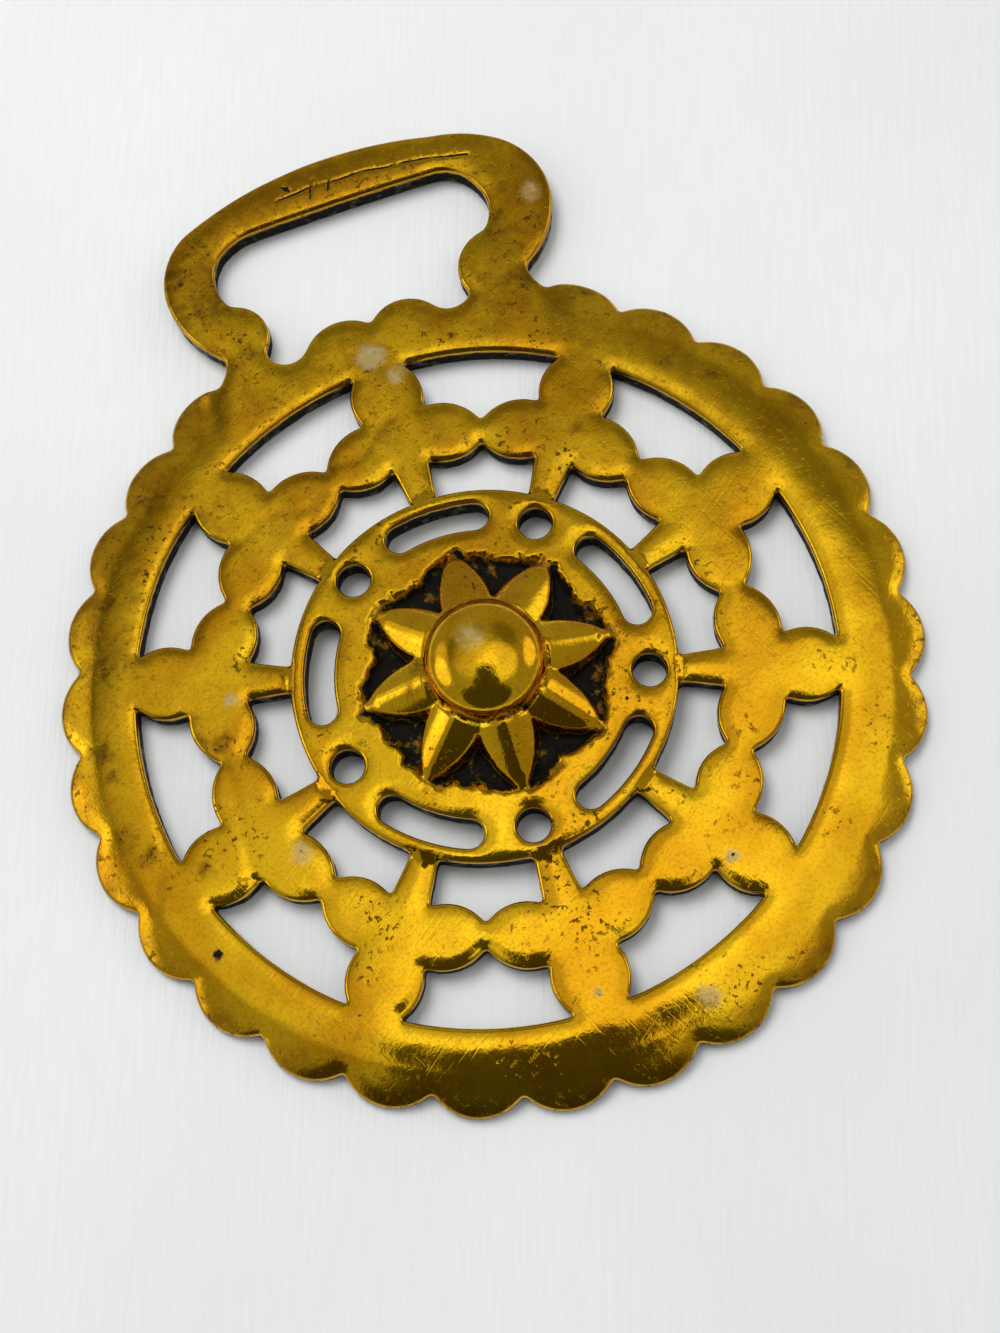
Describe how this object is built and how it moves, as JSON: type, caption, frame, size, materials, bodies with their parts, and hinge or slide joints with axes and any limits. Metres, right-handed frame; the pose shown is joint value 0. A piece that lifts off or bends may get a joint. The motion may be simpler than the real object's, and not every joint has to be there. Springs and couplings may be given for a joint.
{
  "type": "horse brass",
  "caption": "Round pierced cast brass harness plate with a scalloped rim, spoked rings, raised star and boss, and a strap loop.",
  "frame": {"origin": "on the flat back, at the middle of the ring of openings", "axes": "+Z out of the face, away from the back; +Y towards the strap loop; +X to the right seen from the face"},
  "size_m": [0.0759, 0.091, 0.0093],
  "materials": {
    "cast_brass": "polished cast brass, worn, with brown patina, pits and black grime in the recesses"
  },
  "bodies": {
    "root": {"horse_brass": "cast_brass"}
  },
  "joints": []
}
